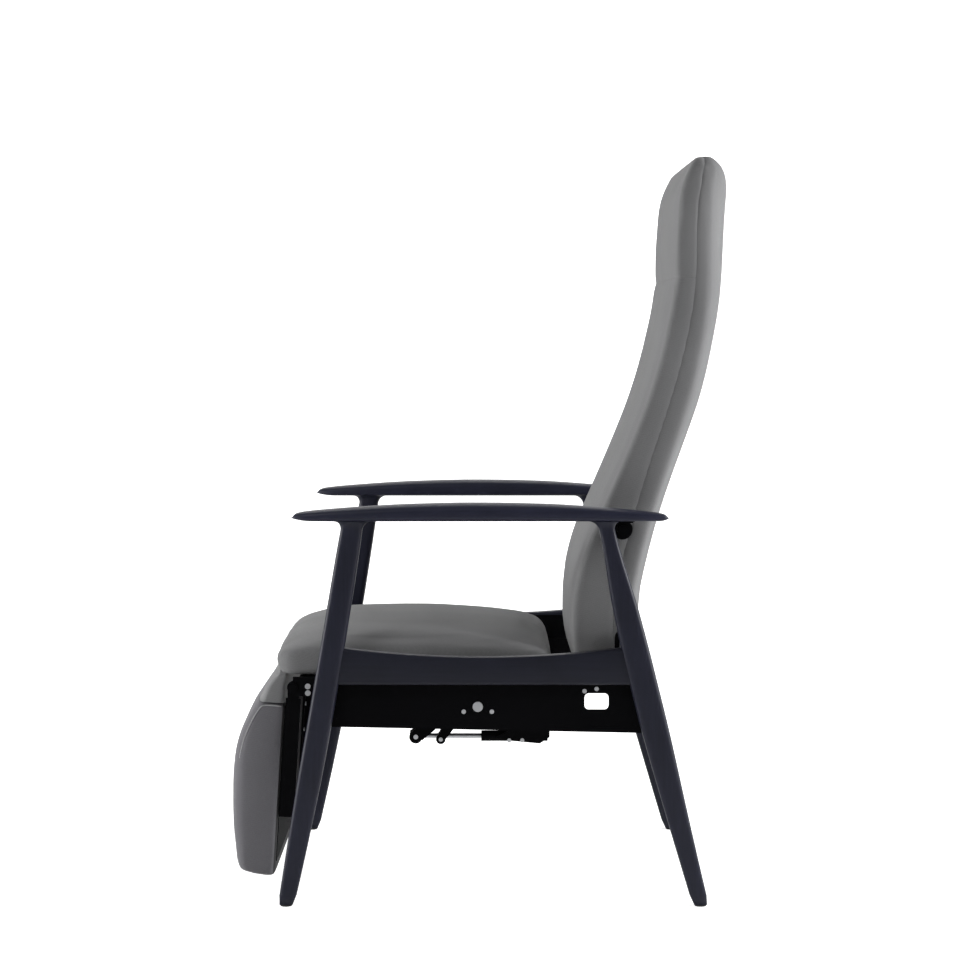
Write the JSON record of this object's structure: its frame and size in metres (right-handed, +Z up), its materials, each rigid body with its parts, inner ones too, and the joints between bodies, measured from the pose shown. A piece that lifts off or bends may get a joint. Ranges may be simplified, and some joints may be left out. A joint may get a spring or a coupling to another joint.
{
  "type": "wingback recliner",
  "caption": "High-backed reclining armchair: stained wooden side frames, sliding seat on a steel glide, tipping padded back and a leg rest that swings up in front.",
  "frame": {"origin": "floor level, midway between the two sides and between the ends of the armrests", "axes": "+Z up, the sitter faces -Y, X runs from side to side with X = 0 the plane of symmetry"},
  "size_m": [0.646, 0.7902, 1.178],
  "materials": {
    "stained_wood": "satin",
    "black_steel": "satin",
    "zinc_steel": "satin",
    "seat_fabric": "matte",
    "shell_fabric": "matte",
    "lining": "matte",
    "plywood": "matte",
    "webbing": "matte",
    "glide_plastic": "matte",
    "slide_nylon": "satin"
  },
  "bodies": {
    "frame": {"left_front_leg": "stained_wood", "right_front_leg": "stained_wood", "left_rear_leg": "stained_wood", "right_rear_leg": "stained_wood", "left_armrest": "stained_wood", "right_armrest": "stained_wood", "left_side_rail": "stained_wood", "right_side_rail": "stained_wood", "left_side_plate": "black_steel", "right_side_plate": "black_steel", "left_slide_channel": "black_steel", "right_slide_channel": "black_steel", "left_rail_bolts": "zinc_steel", "right_rail_bolts": "zinc_steel", "left_plate_bolts": "zinc_steel", "right_plate_bolts": "zinc_steel", "left_pivot_bracket": "black_steel", "right_pivot_bracket": "black_steel", "left_pivot_pin": "black_steel", "right_pivot_pin": "black_steel", "foot_glides": "glide_plastic", "front_cross_tube": "black_steel", "middle_cross_tube": "black_steel", "rear_cross_tube": "black_steel", "spring_front_bracket": "black_steel", "front_bracket_rivets": "zinc_steel", "spring_rod": "zinc_steel"},
    "seat": {"seat_frame": "black_steel", "seat_webbing": "webbing", "seat_cushion": "seat_fabric", "spring_rear_bracket": "black_steel", "rear_bracket_rivets": "zinc_steel", "spring_cylinder": "black_steel", "left_slide_blocks": "slide_nylon", "right_slide_blocks": "slide_nylon", "left_link_plate": "black_steel", "right_link_plate": "black_steel", "left_hinge_plate": "black_steel", "right_hinge_plate": "black_steel", "left_hinge_pin": "zinc_steel", "right_hinge_pin": "zinc_steel", "left_hinge_screws": "zinc_steel", "right_hinge_screws": "zinc_steel"},
    "back": {"back_frame": "plywood", "back_webbing": "webbing", "back_shell": "shell_fabric", "back_cushion": "seat_fabric", "head_cushion": "seat_fabric", "left_pivot_socket": "black_steel", "right_pivot_socket": "black_steel", "left_link_pin": "zinc_steel", "right_link_pin": "zinc_steel"},
    "leg_rest": {"leg_rest_board": "lining", "leg_rest_pad": "seat_fabric", "leg_rest_flap": "seat_fabric", "leg_rest_screws": "zinc_steel", "left_leg_rest_bracket": "black_steel", "right_leg_rest_bracket": "black_steel"}
  },
  "joints": [
    {"name": "back_recline", "type": "hinge", "parent": "frame", "child": "back", "pos_m": [0, 0.225, 0.5887], "axis": [-1, 0, 0], "range_deg": [0, 25]},
    {"name": "seat_glide", "type": "slide", "parent": "frame", "child": "seat", "axis": [0, -1, 0], "range_m": [0, 0.0801]},
    {"name": "leg_rest_swing", "type": "hinge", "parent": "seat", "child": "leg_rest", "pos_m": [0, -0.297, 0.337], "axis": [-1, 0, 0], "range_deg": [0, 80], "deforming": ["leg_rest_flap"]}
  ],
  "couplings": [
    {"joint": "seat_glide", "follows": "back_recline", "m_per_rad": 0.18335}
  ]
}
